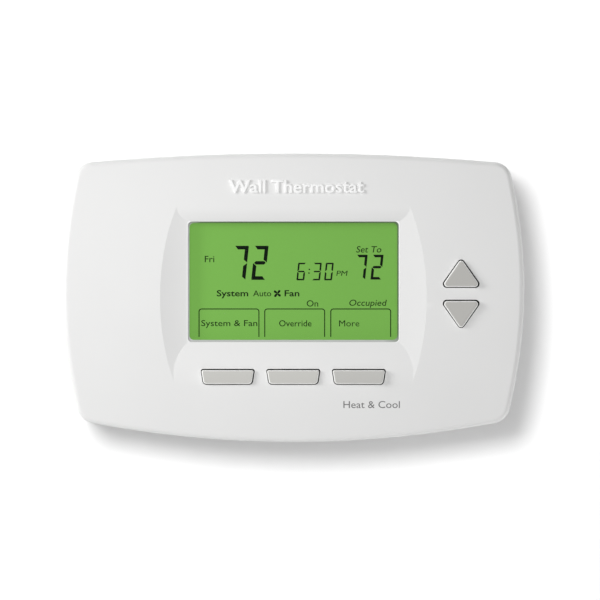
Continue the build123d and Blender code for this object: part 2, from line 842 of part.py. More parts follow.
def battery_tray():
    inner_x = first_cell_x - cell_radius - cell_clearance - tray_wall
    last_x = cell_places()[-1]
    floor_top = tray_back + tray_floor
    panel_top = tray_back + tray_panel_height
    panel = slab(case_outline() - case_outline(tray_panel_wall), tray_back, panel_top)
    panel &= bar(case_width / 2, 0, 50, 2 * tray_half_height, tray_back, panel_top)
    floor = slab(case_outline(tray_panel_wall / 2), tray_back, floor_top) & block(
        inner_x, case_width / 2, -tray_half_height, tray_half_height, tray_back, floor_top
    )
    wall_inner = cell_length / 2 + cell_clearance
    low_walls = [
        block(inner_x, last_x + 4, y0, y1, floor_top, floor_top + tray_cradle)
        for y0, y1 in ((wall_inner, tray_half_height), (-tray_half_height, -wall_inner))
    ]
    end_wall = block(
        inner_x, inner_x + tray_wall, -wall_inner + 1, wall_inner - 1, floor_top, cell_z + cell_radius - 1
    )
    thumb_groove = block(case_width / 2 - 0.9, case_width / 2 + 5, -9, 9, cell_z - 1, cell_z + 1)
    return panel + floor + low_walls + end_wall - thumb_groove


def battery_contacts():
    """A bowed strip at each end of each cell, standing on the rails of the bay."""
    rail_y = tray_half_height + tray_gap
    tip_y = cell_length / 2 + contact_reach
    foot = 3.4
    strips = []
    for x in cell_places():
        for s in (-1, 1):
            thick = contact_strip * s
            outline = [
                (x + s * foot, s * rail_y),
                (x - s * foot, s * rail_y),
                (x - s * foot, s * rail_y - thick),
                (x - s * (foot - 1.2), s * rail_y - thick),
                (x - s * 1.0, s * tip_y),
                (x + s * 1.0, s * tip_y),
                (x + s * (foot - 1.2), s * rail_y - thick),
                (x + s * foot, s * rail_y - thick),
            ]
            strip = make_face(Polyline(*outline, close=True))
            strips.append(slab(strip, cell_z - contact_width / 2, cell_z + contact_width / 2))
    return group(strips)


# ---- assembly --------------------------------------------------------------------------------------------
def main():
    os.makedirs("parts", exist_ok=True)
    save("front_cover", front_cover())
    save("rear_cover", rear_cover())
    save("display_window", display_window())
    save("display_frame", display_frame())
    save("lcd_panel", lcd_panel())
    save("front_polariser", polariser(lcd_front))
    save("rear_polariser", polariser(lcd_back - polariser_thickness))
    save("upper_contact_strip", zebra_strip(1))
    save("lower_contact_strip", zebra_strip(-1))
    save("light_guide", light_guide())
    save("reflector_sheet", reflector_sheet())
    save("backlight_leds", backlight_leds())

    places = {name: (x, soft_key_y) for name, x in soft_key_places.items()}
    places["up_key"] = (arrow_key_x, arrow_centre(1))
    places["down_key"] = (arrow_key_x, arrow_centre(-1))
    soft_surface = dome_z(soft_key_pitch, soft_key_y)
    soft_inner = dome_z(soft_key_pitch + soft_key_top_width / 2, soft_key_y) - recess_wall
    arrow_surface = dome_z(arrow_key_x, arrow_height)
    arrow_inner = dome_z(arrow_key_x + arrow_half_width, arrow_height) - case_wall
    for name, (x, y) in places.items():
        if name in soft_key_places:
            save(name, key(soft_key_outline(x), x, y, soft_surface, soft_inner))
        else:
            direction = 1 if name == "up_key" else -1
            save(name, key(arrow_outline(direction), x, y, arrow_surface, arrow_inner))
        save(f"{name}_dome", silicone_dome(x, y))
        save(f"{name}_carbon_pill", carbon_pill(x, y))
    save("keypad_mat", keypad_mat(places))

    save("circuit_board", circuit_board())
    save("relays", relays())
    save("microcontroller", microcontroller())
    save("capacitor", capacitor())
    save("crystal", crystal())
    save("temperature_sensor", temperature_sensor())
    save("left_header", header_body(-1))
    save("right_header", header_body(1))
    save("header_pins", group(header_pin(s * socket_x, y) for s in (-1, 1) for y in terminal_rows))
    save(
        "board_screws",
        group(
            screw(
                x,
                y,
                board_back - screw_head_height,
                screw_hole_end(x, y) - screw_tip_room,
                board_screw_radius,
                board_screw_head,
            )
            for x, y in board_screw_places
        ),
    )
    save(
        "case_screws",
        group(
            screw(
                x,
                y,
                rear_wall_back - screw_head_height,
                seam + case_screw_length - 1,
                case_screw_radius,
                case_screw_head,
            )
            for x, y in case_screw_places
        ),
    )

    save("wall_plate", wall_plate())
    save("left_terminal_block", terminal_block(-1))
    save("right_terminal_block", terminal_block(1))
    save("terminal_screws", terminal_screws())
    save("terminal_contacts", terminal_contacts())
    save("jumper_link", jumper_link())

    save("battery_tray", battery_tray())
    save("batteries", group(battery(x, (-1) ** i) for i, x in enumerate(cell_places())))
    save("battery_contacts", battery_contacts())


main()
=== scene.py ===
import json
import math

import bpy
from mathutils import Matrix, Vector

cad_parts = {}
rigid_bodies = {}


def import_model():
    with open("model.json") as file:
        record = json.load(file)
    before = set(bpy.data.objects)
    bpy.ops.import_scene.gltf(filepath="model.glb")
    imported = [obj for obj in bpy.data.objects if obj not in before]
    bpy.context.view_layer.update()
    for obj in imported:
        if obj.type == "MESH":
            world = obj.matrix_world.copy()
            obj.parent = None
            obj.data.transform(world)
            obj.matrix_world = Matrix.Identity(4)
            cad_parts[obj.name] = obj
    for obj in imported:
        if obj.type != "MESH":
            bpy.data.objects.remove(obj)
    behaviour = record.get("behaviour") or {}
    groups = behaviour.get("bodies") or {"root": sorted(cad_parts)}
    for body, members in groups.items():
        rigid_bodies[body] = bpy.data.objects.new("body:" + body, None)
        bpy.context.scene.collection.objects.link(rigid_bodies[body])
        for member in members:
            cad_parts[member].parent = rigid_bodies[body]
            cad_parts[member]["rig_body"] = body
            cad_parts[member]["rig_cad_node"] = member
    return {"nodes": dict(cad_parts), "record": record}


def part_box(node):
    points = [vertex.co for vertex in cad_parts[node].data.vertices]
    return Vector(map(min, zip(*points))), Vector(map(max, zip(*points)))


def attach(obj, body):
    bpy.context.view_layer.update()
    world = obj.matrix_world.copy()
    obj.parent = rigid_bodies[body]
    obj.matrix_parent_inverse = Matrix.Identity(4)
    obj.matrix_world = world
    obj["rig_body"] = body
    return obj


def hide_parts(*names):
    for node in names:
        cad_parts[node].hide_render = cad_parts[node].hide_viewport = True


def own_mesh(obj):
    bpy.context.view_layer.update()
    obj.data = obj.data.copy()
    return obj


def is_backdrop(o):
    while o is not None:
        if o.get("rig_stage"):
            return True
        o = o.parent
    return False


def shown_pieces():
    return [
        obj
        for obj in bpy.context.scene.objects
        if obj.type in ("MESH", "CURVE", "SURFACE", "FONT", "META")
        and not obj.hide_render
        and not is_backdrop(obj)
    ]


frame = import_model()
bpy.ops.object.select_all(action="DESELECT")
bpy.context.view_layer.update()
mm = 0.001
cutMargin = 1 * mm  # how far a cutter stands out past what it cuts
rayStart = 0.06  # metres from the wall plane, clear of the whole part on either side
facingRoom = (math.radians(90), 0, 0)  # stands a flat shape up against the wall
nodes = frame["nodes"]
bodyOf = {node: body for body, held in frame["record"]["behaviour"]["bodies"].items() for node in held}
slotOf = {part["node"]: part["material_slot"] for part in frame["record"]["subparts"]}
print("frame loaded:", len(nodes), "nodes")


# modelling helpers
def active():
    return bpy.context.view_layer.objects.active


def only(obj):
    bpy.ops.object.select_all(action="DESELECT")
    obj.select_set(True)
    bpy.context.view_layer.objects.active = obj


def done():
    bpy.ops.object.mode_set(mode="OBJECT")


def allOf(obj, mode="VERT"):
    # into edit mode with everything selected
    only(obj)
    bpy.ops.object.mode_set(mode="EDIT")
    bpy.ops.mesh.select_mode(type=mode)
    bpy.ops.mesh.select_all(action="SELECT")


def pick(obj, kind, test):
    # into edit mode with the faces, edges or verts that pass the test
    only(obj)
    done()
    bpy.context.tool_settings.mesh_select_mode = (kind == "VERT", kind == "EDGE", kind == "FACE")
    mesh = obj.data
    for part in (mesh.polygons, mesh.edges, mesh.vertices):
        part.foreach_set("select", [False] * len(part))
    for item in {"FACE": mesh.polygons, "EDGE": mesh.edges, "VERT": mesh.vertices}[kind]:
        item.select = bool(test(item))
    bpy.ops.object.mode_set(mode="EDIT")


def merged(obj, distance):
    allOf(obj)
    bpy.ops.mesh.remove_doubles(threshold=distance)
    done()
    return obj


def runsDeep(obj, edge):
    # true for an edge that runs straight away from the room
    first, last = (obj.data.vertices[i].co for i in edge.vertices)
    return (last - first).xz.length < 1e-7


def modify(obj, kind, **settings):
    only(obj)
    mod = obj.modifiers.new(kind.title(), kind)
    for key, value in settings.items():
        setattr(mod, key, value)
    bpy.ops.object.modifier_apply(modifier=mod.name)
    return obj


def bake(obj, matrix=None):
    # puts the object's place into its mesh
    bpy.context.view_layer.update()
    obj.data.transform(obj.matrix_world)
    obj.matrix_world = Matrix.Identity(4)
    if matrix is not None:
        obj.data.transform(matrix)
    obj.data.update()
    return obj


def joined(objs, name):
    bpy.ops.object.select_all(action="DESELECT")
    for obj in objs:
        obj.select_set(True)
    bpy.context.view_layer.objects.active = objs[0]
    bpy.ops.object.join()
    whole = active()
    whole.name = name
    return whole


def smooth(obj, degrees=35):
    only(obj)
    bpy.ops.object.shade_smooth_by_angle(angle=math.radians(degrees))


def place(obj, name, body, material):
    obj.name = name
    obj.data.name = name
    obj.data.materials.clear()
    obj.data.materials.append(material)
    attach(obj, body)
    return obj


def weldedCopy(nodeName, name, degrees):
    # a CAD node's mesh as a new piece, its loose triangles merged
    twin = nodes[nodeName].copy()
    twin.data = nodes[nodeName].data.copy()
    twin.name = name
    bpy.context.scene.collection.objects.link(twin)
    twin.parent = None
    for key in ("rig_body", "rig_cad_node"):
        if key in twin:
            del twin[key]
    smooth(merged(twin, 1e-6), degrees)
    return twin


def block(width, height, low, high, radius, centre):
    # a slab between two depths, its corners rounded in the front view
    bpy.ops.mesh.primitive_cube_add(size=1)
    slab = active()
    slab.scale = (width, high - low, height)
    bake(slab, Matrix.Translation((centre[0], (low + high) / 2, centre[1])))
    pick(slab, "EDGE", lambda e: runsDeep(slab, e))
    bpy.ops.mesh.bevel(offset=radius, segments=8, affect="EDGES")
    done()
    return slab


def cutOut(whole, hole):
    modify(whole, "BOOLEAN", operation="DIFFERENCE", object=hole)
    bpy.data.objects.remove(hole)
    return whole


def depthAt(surface, x, z, side=-1):
    # the y of a surface at a place in the front view, met from the room's side or from the wall's
    hit, where = surface.ray_cast(Vector((x, side * rayStart, z)), Vector((0, -side, 0)))[:2]
    return where.y if hit else None


# shader node helpers: a value is a number, a colour a tuple, and either may be another node's output
def feed(link, socket, value):
    if isinstance(value, bpy.types.NodeSocket):
        link.new(value, socket)
    else:
        socket.default_value = value


def sums(n, link, operation, *terms):
    node = n.new("ShaderNodeMath")
    node.operation = operation
    for socket, term in zip(node.inputs, terms):
        feed(link, socket, term)
    return node.outputs[0]


def ranged(n, link, value, toMin, toMax, fromMin=0.0, fromMax=1.0):
    node = n.new("ShaderNodeMapRange")
    ends = {"Value": value, "From Min": fromMin, "From Max": fromMax, "To Min": toMin, "To Max": toMax}
    for label, end in ends.items():
        feed(link, node.inputs[label], end)
    return node.outputs["Result"]


def noise(n, link, where, scale, detail=2.0, roughness=0.5):
    node = n.new("ShaderNodeTexNoise")
    for label, value in {"Vector": where, "Scale": scale, "Detail": detail, "Roughness": roughness}.items():
        feed(link, node.inputs[label], value)
    return node.outputs["Fac"]


def tinted(n, link, colour, amount):
    node = n.new("ShaderNodeVectorMath")
    node.operation = "SCALE"
    feed(link, node.inputs[0], colour)
    feed(link, node.inputs["Scale"], amount)
    return node.outputs[0]


def mixed(n, link, factor, first, second):
    node = n.new("ShaderNodeMix")
    node.data_type = "RGBA"
    for label, colour in (("A", first), ("B", second)):
        feed(link, node.inputs[label], (*colour, 1) if isinstance(colour, tuple) else colour)
    feed(link, node.inputs["Factor"], factor)
    return node.outputs["Result"]


def apart(n, link, vector, axis):
    node = n.new("ShaderNodeSeparateXYZ")
    link.new(vector, node.inputs[0])
    return node.outputs[axis]


def surfaceGroup(name, inputs):
    # an empty effect that puts out a colour, a roughness and a relief
    group = bpy.data.node_groups.new(name, "ShaderNodeTree")
    for label, value in inputs.items():
        kind = "NodeSocketColor" if value is None else "NodeSocketFloat"
        socket = group.interface.new_socket(name=label, in_out="INPUT", socket_type=kind)
        if value is not None:
            socket.default_value = value
    results = {"Colour": "NodeSocketColor", "Roughness": "NodeSocketFloat", "Height": "NodeSocketFloat"}
    for label, kind in results.items():
        group.interface.new_socket(name=label, in_out="OUTPUT", socket_type=kind)
    n = group.nodes
    return group, n, group.links, n.new("NodeGroupInput").outputs, n.new("NodeGroupOutput").inputs


def mouldedGroup():
    # spark-eroded mould texture: a fine grain over a broad, weak unevenness
    values = {"Colour": None, "Grain Scale": 2400.0, "Mottle": 0.02, "Roughness": 0.5, "Spread": 0.08}
    group, n, link, given, out = surfaceGroup("mouldedPlastic", values)
    where = n.new("ShaderNodeTexCoord").outputs["Object"]
    broad = noise(n, link, where, 38.0, 4.0)
    dull = sums(n, link, "SUBTRACT", 1.0, given["Mottle"])
    shade = ranged(n, link, broad, dull, 1.0, 0.3, 0.7)
    link.new(tinted(n, link, given["Colour"], shade), out["Colour"])
    uneven = sums(n, link, "SUBTRACT", broad, 0.5)
    link.new(sums(n, link, "MULTIPLY_ADD", uneven, given["Spread"], given["Roughness"]), out["Roughness"])
    link.new(noise(n, link, where, given["Grain Scale"], 3.0, 0.6), out["Height"])
    return group


def platedGroup():
    # fine streaks and dull spots for plated metal
    values = {"Colour": None, "Roughness": 0.3, "Streak Scale": 900.0}
    group, n, link, given, out = surfaceGroup("platedMetal", values)
    where = n.new("ShaderNodeTexCoord").outputs["Object"]
    stretch = n.new("ShaderNodeMapping")
    stretch.inputs["Scale"].default_value = (1.0, 1.0, 0.08)
    link.new(where, stretch.inputs["Vector"])
    streaks = noise(n, link, stretch.outputs[0], given["Streak Scale"])
    spots = ranged(n, link, noise(n, link, where, 260.0), 0.78, 1.05)
    link.new(tinted(n, link, given["Colour"], spots), out["Colour"])
    link.new(sums(n, link, "MULTIPLY_ADD", streaks, 0.22, given["Roughness"]), out["Roughness"])
    link.new(streaks, out["Height"])
    return group


groups = {"moulded": mouldedGroup(), "plated": platedGroup()}


def newMaterial(name):
    material = bpy.data.materials.new(name)
    material.use_nodes = True
    tree = material.node_tree
    return material, tree.nodes, tree.links, tree.nodes["Principled BSDF"]


def grained(n, link, shader, kind, bump, **values):
    # one of the two effects, set and wired to the shader
    group = n.new("ShaderNodeGroup")
    group.node_tree = groups[kind]
    for key, value in values.items():
        feed(link, group.inputs[key.replace("_", " ")], value)
    relief = n.new("ShaderNodeBump")
    relief.inputs["Strength"].default_value = bump
    relief.inputs["Distance"].default_value = 0.0001
    link.new(group.outputs["Height"], relief.inputs["Height"])
    link.new(relief.outputs["Normal"], shader.inputs["Normal"])
    link.new(group.outputs["Colour"], shader.inputs["Base Color"])
    link.new(group.outputs["Roughness"], shader.inputs["Roughness"])


def plastic(name, colour, roughness=0.5, grain=2400.0, bump=0.06, mottle=0.02, specular=0.5):
    material, n, link, shader = newMaterial(name)
    grained(n, link, shader, "moulded", bump, Colour=(*colour, 1), Grain_Scale=grain, Mottle=mottle,
            Roughness=roughness, Spread=0.1)
    shader.inputs["Specular IOR Level"].default_value = specular
    return material


def metal(name, colour, roughness=0.25, streaks=900.0):
    material, n, link, shader = newMaterial(name)
    grained(n, link, shader, "plated", 0.08, Colour=(*colour, 1), Roughness=roughness, Streak_Scale=streaks)
    shader.inputs["Metallic"].default_value = 1.0
    return material


windowLook = {"tint": (0.2, 0.22, 0.2, 1), "roughness": 0.14, "haze": (0.002, 0.008), "glancing": 0.55}


def windowMaterial():
    # clear moulded window: almost nothing head on, more at a glancing angle
    material, n, link, shader = newMaterial("clearWindow")
    shader.inputs["Base Color"].default_value = windowLook["tint"]
    shader.inputs["Roughness"].default_value = windowLook["roughness"]
    facing = n.new("ShaderNodeLayerWeight")
    facing.inputs["Blend"].default_value = 0.5
    steep = sums(n, link, "POWER", facing.outputs["Facing"], 3.0)
    smears = noise(n, link, n.new("ShaderNodeTexCoord").outputs["Object"], 60.0)
    haze = ranged(n, link, smears, *windowLook["haze"])
    link.new(sums(n, link, "MULTIPLY_ADD", steep, windowLook["glancing"], haze), shader.inputs["Alpha"])
    return material


displayLook = {
    "reflected": (0.083, 0.196, 0.037),
    "glow": (0.183, 0.431, 0.081),
    "strength": 0.6,
    "lampAndLitSide": 1.09,  # brightness at the lamps on the left, raised further as painted light against the cove's shade, and at the far end
    "farSide": 0.99,
    "segment": (0.006, 0.012, 0.006),
    "print": (0.012, 0.035, 0.008),
}


def displayMaterial():
    # green backlit display
    material, n, link, shader = newMaterial("litDisplay")
    low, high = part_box("front_polariser")
    where = n.new("ShaderNodeTexCoord").outputs["Object"]
    across = ranged(n, link, apart(n, link, where, "X"), displayLook["lampAndLitSide"], displayLook["farSide"],
                    low.x, high.x)
    fine = ranged(n, link, noise(n, link, where, 5200.0, 1.0), 0.96, 1.04)
    both = sums(n, link, "MULTIPLY", across, fine)
    link.new(tinted(n, link, displayLook["reflected"], both), shader.inputs["Base Color"])
    link.new(tinted(n, link, displayLook["glow"], both), shader.inputs["Emission Color"])
    shader.inputs["Emission Strength"].default_value = displayLook["strength"]
    shader.inputs["Specular IOR Level"].default_value = 0.0
    shader.inputs["Roughness"].default_value = 0.35
    return material


finish = {
    "white_case": plastic("whiteCase", (0.80, 0.80, 0.795), 0.46, bump=0.05),
    "clear_window": windowMaterial(),
    "dark_frame": plastic("darkFrame", (0.03, 0.033, 0.03), 0.5),
    "display_glass": plastic("displayGlass", (0.19, 0.4, 0.1), 0.1, bump=0.0, mottle=0.01),
    "polariser_film": displayMaterial(),
    "contact_rubber": plastic("contactRubber", (0.5, 0.17, 0.26), 0.7, grain=5000.0, bump=0.2),
    "green_light": plastic("greenLight", (0.35, 0.7, 0.15), 0.25, bump=0.02),
    "white_film": plastic("whiteFilm", (0.86, 0.86, 0.86), 0.3, bump=0.01),
    "soft_key_grey": plastic("softKeyGrey", (0.565, 0.555, 0.53), 0.42, bump=0.05),
    "arrow_key_grey": plastic("arrowKeyGrey", (0.45, 0.443, 0.42), 0.42, bump=0.05),
    "silicone": plastic("silicone", (0.6, 0.6, 0.58), 0.55, bump=0.08),
    "carbon_rubber": plastic("carbonRubber", (0.012, 0.012, 0.012), 0.75, bump=0.3),
    "board_green": plastic("boardGreen", (0.012, 0.09, 0.03), 0.28, grain=900.0, bump=0.1, mottle=0.2),
    "relay_case": plastic("relayCase", (0.02, 0.09, 0.33), 0.25, bump=0.02),
    "chip_black": plastic("chipBlack", (0.015, 0.015, 0.016), 0.5, bump=0.1),
    "capacitor_sleeve": plastic("capacitorSleeve", (0.01, 0.015, 0.07), 0.3, bump=0.02),
    "tinned_metal": metal("tinnedMetal", (0.8, 0.8, 0.78)),
    "screw_steel": metal("screwSteel", (0.62, 0.62, 0.6), 0.32),
    "contact_brass": metal("contactBrass", (0.78, 0.56, 0.22), 0.28),
    "wall_plate_white": plastic("wallPlateWhite", (0.76, 0.76, 0.74), 0.5, bump=0.08),
    "terminal_grey": plastic("terminalGrey", (0.07, 0.075, 0.08), 0.48, bump=0.08),
    "battery_label": metal("batteryLabel", (0.05, 0.055, 0.07), 0.3),
}
greyPrint = plastic("greyPrint", (0.16, 0.16, 0.16), 0.6, bump=0.02)
whitePrint = plastic("whitePrint", (0.75, 0.75, 0.73), 0.55, bump=0.02)
for node, slotName in slotOf.items():
    mesh = nodes[node].data
    mesh.materials.clear()
    mesh.materials.append(finish[slotName])
print("materials on CAD nodes")


# keys: edges painted pale as a highlight, and painted near black as shade down in the gap round each one
keyLooks = {
    # face colour, edge colour painted pale as a highlight, share of the CAD width and height that shows
    "left_soft_key": ((0.55, 0.545, 0.515), (0.9, 0.9, 0.88), (0.984, 0.945)),
    "middle_soft_key": ((0.545, 0.54, 0.51), (0.9, 0.9, 0.88), (0.984, 0.945)),
    # painted shade: the right soft key's face and edge are darker than the other soft keys'
    "right_soft_key": ((0.5, 0.495, 0.47), (0.85, 0.85, 0.83), (0.984, 0.945)),
    "up_key": ((0.45, 0.443, 0.42), (0.88, 0.88, 0.86), (0.947, 0.968)),
    "down_key": ((0.44, 0.433, 0.41), (0.88, 0.88, 0.86), (0.947, 0.968)),
}
keySeat = Vector((-0.05 * mm, 0, -0.07 * mm))  # each key lies a little low and left in its opening


def keyMaterial(name, colour, edge, level):
    # level is the y of the case's face beside the key, and past it the key is painted near black as shade in
    # the gap
    material, n, link, shader = newMaterial(name)
    where = n.new("ShaderNodeTexCoord")
    # painted highlight: the edge colour where the surface turns away from the room
    rimHighlight = ranged(n, link, apart(n, link, where.outputs["Normal"], "Y"), 0.0, 1.0, -0.985, -0.88)
    # painted shade: near black where the key lies deeper than the case's face
    gapShade = ranged(n, link, apart(n, link, where.outputs["Object"], "Y"), 0.0, 1.0,
                  level + 0.1 * mm, level + 0.5 * mm)
    shaded = mixed(n, link, gapShade, mixed(n, link, rimHighlight, colour, edge), (0.01, 0.01, 0.01))
    grained(n, link, shader, "moulded", 0.05, Colour=shaded, Grain_Scale=2400.0, Mottle=0.03, Roughness=0.42)
    return material


for key, (colour, edge, kept) in keyLooks.items():
    low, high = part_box(key)
    middle = (low + high) / 2
    cap = weldedCopy(key, key + "_cap", 30)
    shrink = Matrix.Diagonal((kept[0], 1, kept[1], 1))
    cap.data.transform(Matrix.Translation(middle + keySeat) @ shrink @ Matrix.Translation(-middle))
    level = depthAt(nodes["front_cover"], high.x + 1 * mm, middle.z)
    place(cap, key + "_cap", bodyOf[key], keyMaterial(key + "_look", colour, edge, level))
    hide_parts(key)
print("keys set")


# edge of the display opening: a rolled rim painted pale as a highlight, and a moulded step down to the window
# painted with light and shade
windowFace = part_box("display_window")[0].y
opening = {"width": 69.5 * mm, "height": 39.7 * mm, "middle": 5.2 * mm, "floor": windowFace - 0.55 * mm}
# the rim's tones are a painted highlight, paler above and right than below and left
rimLook = {"width": 0.35 * mm, "rise": 0.07 * mm, "root": 0.1 * mm, "outer": 1.4 * mm, "inner": 1.3 * mm,
           "aboveRight": (0.98, 0.98, 0.98), "belowLeft": (0.82, 0.82, 0.82), "blur": 0.3}
# the step's tones are painted light and shade: dark green above and right as shadow on the window, light grey
# below and left as a lit edge
stepLook = {"gap": 0.03 * mm, "rise": 0.3 * mm, "root": 0.02 * mm,
            "side": 0.475 * mm, "ends": 0.575 * mm, "lift": 0.12 * mm,
            "outer": 1.0 * mm, "inner": 1.5 * mm,
            "aboveRight": (0.04, 0.11, 0.012), "belowLeft": (0.5, 0.51, 0.5), "blur": 0.12}


def paintedLightEdgeMaterial(name, look):
    # painted highlight and shade in two tones, parted along the display's diagonal
    material, n, link, shader = newMaterial(name)
    slanted = n.new("ShaderNodeVectorMath")
    slanted.operation = "DOT_PRODUCT"
    slanted.inputs[1].default_value = (2 / opening["width"], 0, 2 / opening["height"])
    link.new(n.new("ShaderNodeTexCoord").outputs["Object"], slanted.inputs[0])
    middle = 2 * opening["middle"] / opening["height"]
    side = ranged(n, link, slanted.outputs["Value"], 0.0, 1.0, middle - look["blur"], middle + look["blur"])
    tone = mixed(n, link, side, look["belowLeft"], look["aboveRight"])
    grained(n, link, shader, "moulded", 0.0, Colour=tone, Roughness=0.4)
    return material


def opened(wider, low, high, radius, lift=0.0):
    # a block the size of the opening, wider by so much each way
    return block(opening["width"] + wider[0], opening["height"] + wider[1], low, high, radius,
                 (0, opening["middle"] + lift))


floor = opening["floor"]
rim = opened((2 * rimLook["width"],) * 2, floor - rimLook["rise"], floor + rimLook["root"], rimLook["outer"])
rim = cutOut(rim, opened((0, 0), floor - cutMargin, floor + cutMargin, rimLook["inner"]))
place(rim, "opening_rim", "thermostat", paintedLightEdgeMaterial("openingRim", rimLook))
step = opened((-2 * stepLook["gap"],) * 2, windowFace - stepLook["rise"], windowFace + stepLook["root"],
              stepLook["outer"])
hollow = opened((-2 * stepLook["side"], -2 * stepLook["ends"]), windowFace - cutMargin,
                windowFace + cutMargin, stepLook["inner"], stepLook["lift"])
place(cutOut(step, hollow), "opening_step", "thermostat", paintedLightEdgeMaterial("openingStep", stepLook))
print("display opening edged")


# silicone domes under their keys, as merged copies of the CAD domes
for key in keyLooks:
    name = key + "_dome"
    dome = weldedCopy(name, key + "_silicone_dome", 40)
    place(dome, dome.name, bodyOf[name], finish[slotOf[name]])
    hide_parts(name)
    low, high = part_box(name)
    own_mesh(dome)
print("domes set")


# batteries: steel cans and printed sleeves
cell = {"radius": 5.25, "length": 44.5, "nub": 1.9, "nubHeight": 0.8, "centres": (45.0, 55.7, 66.4),
        "height": 14.35}
sleeveLook = {"film": (0.012, 0.014, 0.018), "copper": (0.62, 0.27, 0.09), "line": (0.75, 0.75, 0.75),
              "copperFrom": 0.74, "lineAt": 0.72, "lineHalf": 0.008}
batterySteel = metal("batterySteel", (0.72, 0.72, 0.72), 0.2, 1400.0)


def sleeveMaterial():
    # dark printed film with a copper-coloured band at the positive end
    material, n, link, shader = newMaterial("batterySleeve")
    where = n.new("ShaderNodeTexCoord")
    along = apart(n, link, where.outputs["UV"], "Y")
    band = sums(n, link, "GREATER_THAN", along, sleeveLook["copperFrom"])
    line = sums(n, link, "COMPARE", along, sleeveLook["lineAt"], sleeveLook["lineHalf"])
    film = mixed(n, link, band, sleeveLook["film"], sleeveLook["copper"])
    link.new(mixed(n, link, line, film, sleeveLook["line"]), shader.inputs["Base Color"])
    scuffs = noise(n, link, where.outputs["Object"], 700.0)
    link.new(ranged(n, link, scuffs, 0.16, 0.34), shader.inputs["Roughness"])
    shader.inputs["Coat Weight"].default_value = 0.4
    return material


def turnedTube(sections, centre, direction):
    # a lathe shape: rings of (distance along the cell, radius), the first one at the flat end
    bpy.ops.mesh.primitive_circle_add(vertices=48, radius=sections[0][1] * mm, fill_type="NGON")
    tube = active()
    allOf(tube, "EDGE")
    bpy.ops.mesh.extrude_region()
    for (lastAt, lastRadius), (at, radius) in zip(sections, sections[1:]):
        bpy.ops.transform.translate(value=(0, 0, (at - lastAt) * mm))
        bpy.ops.transform.resize(value=(radius / lastRadius,) * 2 + (1,))
        if (at, radius) != sections[-1]:
            bpy.ops.mesh.extrude_region()
    bpy.ops.mesh.select_all(action="SELECT")
    bpy.ops.mesh.normals_make_consistent(inside=False)
    done()
    start = Matrix.Translation((0, 0, sections[0][0] * mm))
    flip = Matrix.Rotation(0 if direction > 0 else math.pi, 4, "X")
    tube.data.transform(Matrix.Translation((centre * mm, -cell["height"] * mm, 0)) @ flip @ start)
    smooth(tube, 40)
    return tube


cellHalf = cell["length"] / 2
canEnd = cellHalf - cell["nubHeight"]
r, nub = cell["radius"], cell["nub"]
canProfile = [
    (-cellHalf, 3.6), (-cellHalf, r - 0.5), (-cellHalf + 0.35, r - 0.12), (canEnd - 0.3, r - 0.12),
    (canEnd, r - 0.6), (canEnd - 0.25, r - 1.1), (canEnd - 0.25, nub + 0.25), (canEnd, nub),
    (cellHalf - 0.2, nub), (cellHalf, nub - 0.25),
]
sleeveProfile = [
    (-cellHalf + 0.15, r - 0.7), (-cellHalf + 0.15, r - 0.25), (-cellHalf + 0.4, r), (canEnd - 0.4, r),
    (canEnd - 0.1, r - 0.25), (canEnd - 0.1, r - 0.75),
]
# the cells stand up and down by turns
cellDirections = {centre: (-1) ** i for i, centre in enumerate(cell["centres"])}
cans, sleeves = [], []
for centre, direction in cellDirections.items():
    cans.append(turnedTube(canProfile, centre, direction))
    sleeve = turnedTube(sleeveProfile, centre, direction)
    for loop in sleeve.data.loops:
        z = sleeve.data.vertices[loop.vertex_index].co.z * direction / mm
        sleeve.data.uv_layers.active.data[loop.index].uv = (0.5, (z + cellHalf) / cell["length"])
    sleeves.append(sleeve)
cans = place(joined(cans, "battery_cans"), "battery_cans", "battery_tray", batterySteel)
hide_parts("batteries")
place(joined(sleeves, "battery_sleeves"), "battery_sleeves", "battery_tray",
      sleeveMaterial())
print("batteries set")


# display figures
inkThick = 0.02 * mm
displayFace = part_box("front_polariser")[0].y - inkThick
digitSegments = {"0": "abcdef", "2": "abged", "3": "abcdg", "6": "acdefg", "7": "abc"}
readings = {
    # text, left edge, bottom, figure width, height, pitch, stroke across and upright, gap, slant
    "room": {"text": "72", "left": -20.4, "bottom": 5.85, "width": 4.55, "height": 11.25, "pitch": 6.5,
             "across": 1.2, "upright": 1.2, "gap": 0.2, "slant": 6},
    "target": {"text": "72", "left": 20.2, "bottom": 5.95, "width": 3.5, "height": 8.2, "pitch": 5.25,
               "across": 0.85, "upright": 0.85, "gap": 0.16, "slant": 6},
    "hour": {"text": "6", "left": 1.0, "bottom": 5.7, "width": 2.6, "height": 5.8, "pitch": 3.9,
             "across": 0.5, "upright": 0.55, "gap": 0.2, "slant": 6},
    "minutes": {"text": "30", "left": 6.2, "bottom": 5.7, "width": 2.6, "height": 5.8, "pitch": 3.95,
                "across": 0.5, "upright": 0.55, "gap": 0.2, "slant": 6},
}
colon = {"left": 4.35, "heights": (8.1, 9.3), "lean": 0.1, "radius": 0.25}
fan = {"at": (-5.3, 1.35), "reach": 1.35, "blades": 4, "width": 0.62, "curl": 0.18}


def strokeShape(length, thick, pointed):
    # one display segment along x, its long side up, or pointed at both ends
    bpy.ops.mesh.primitive_cube_add(size=1, scale=(length, inkThick, thick))
    bar = bake(active())
    if pointed:
        pick(bar, "EDGE", lambda e: runsDeep(bar, e))
        bpy.ops.mesh.bevel(offset=thick * 0.48, affect="EDGES")
    else:
        pick(bar, "VERT", lambda v: v.co.z < 0)
        bpy.ops.transform.resize(value=((length - 1.6 * thick) / length, 1, 1))
    done()
    return bar


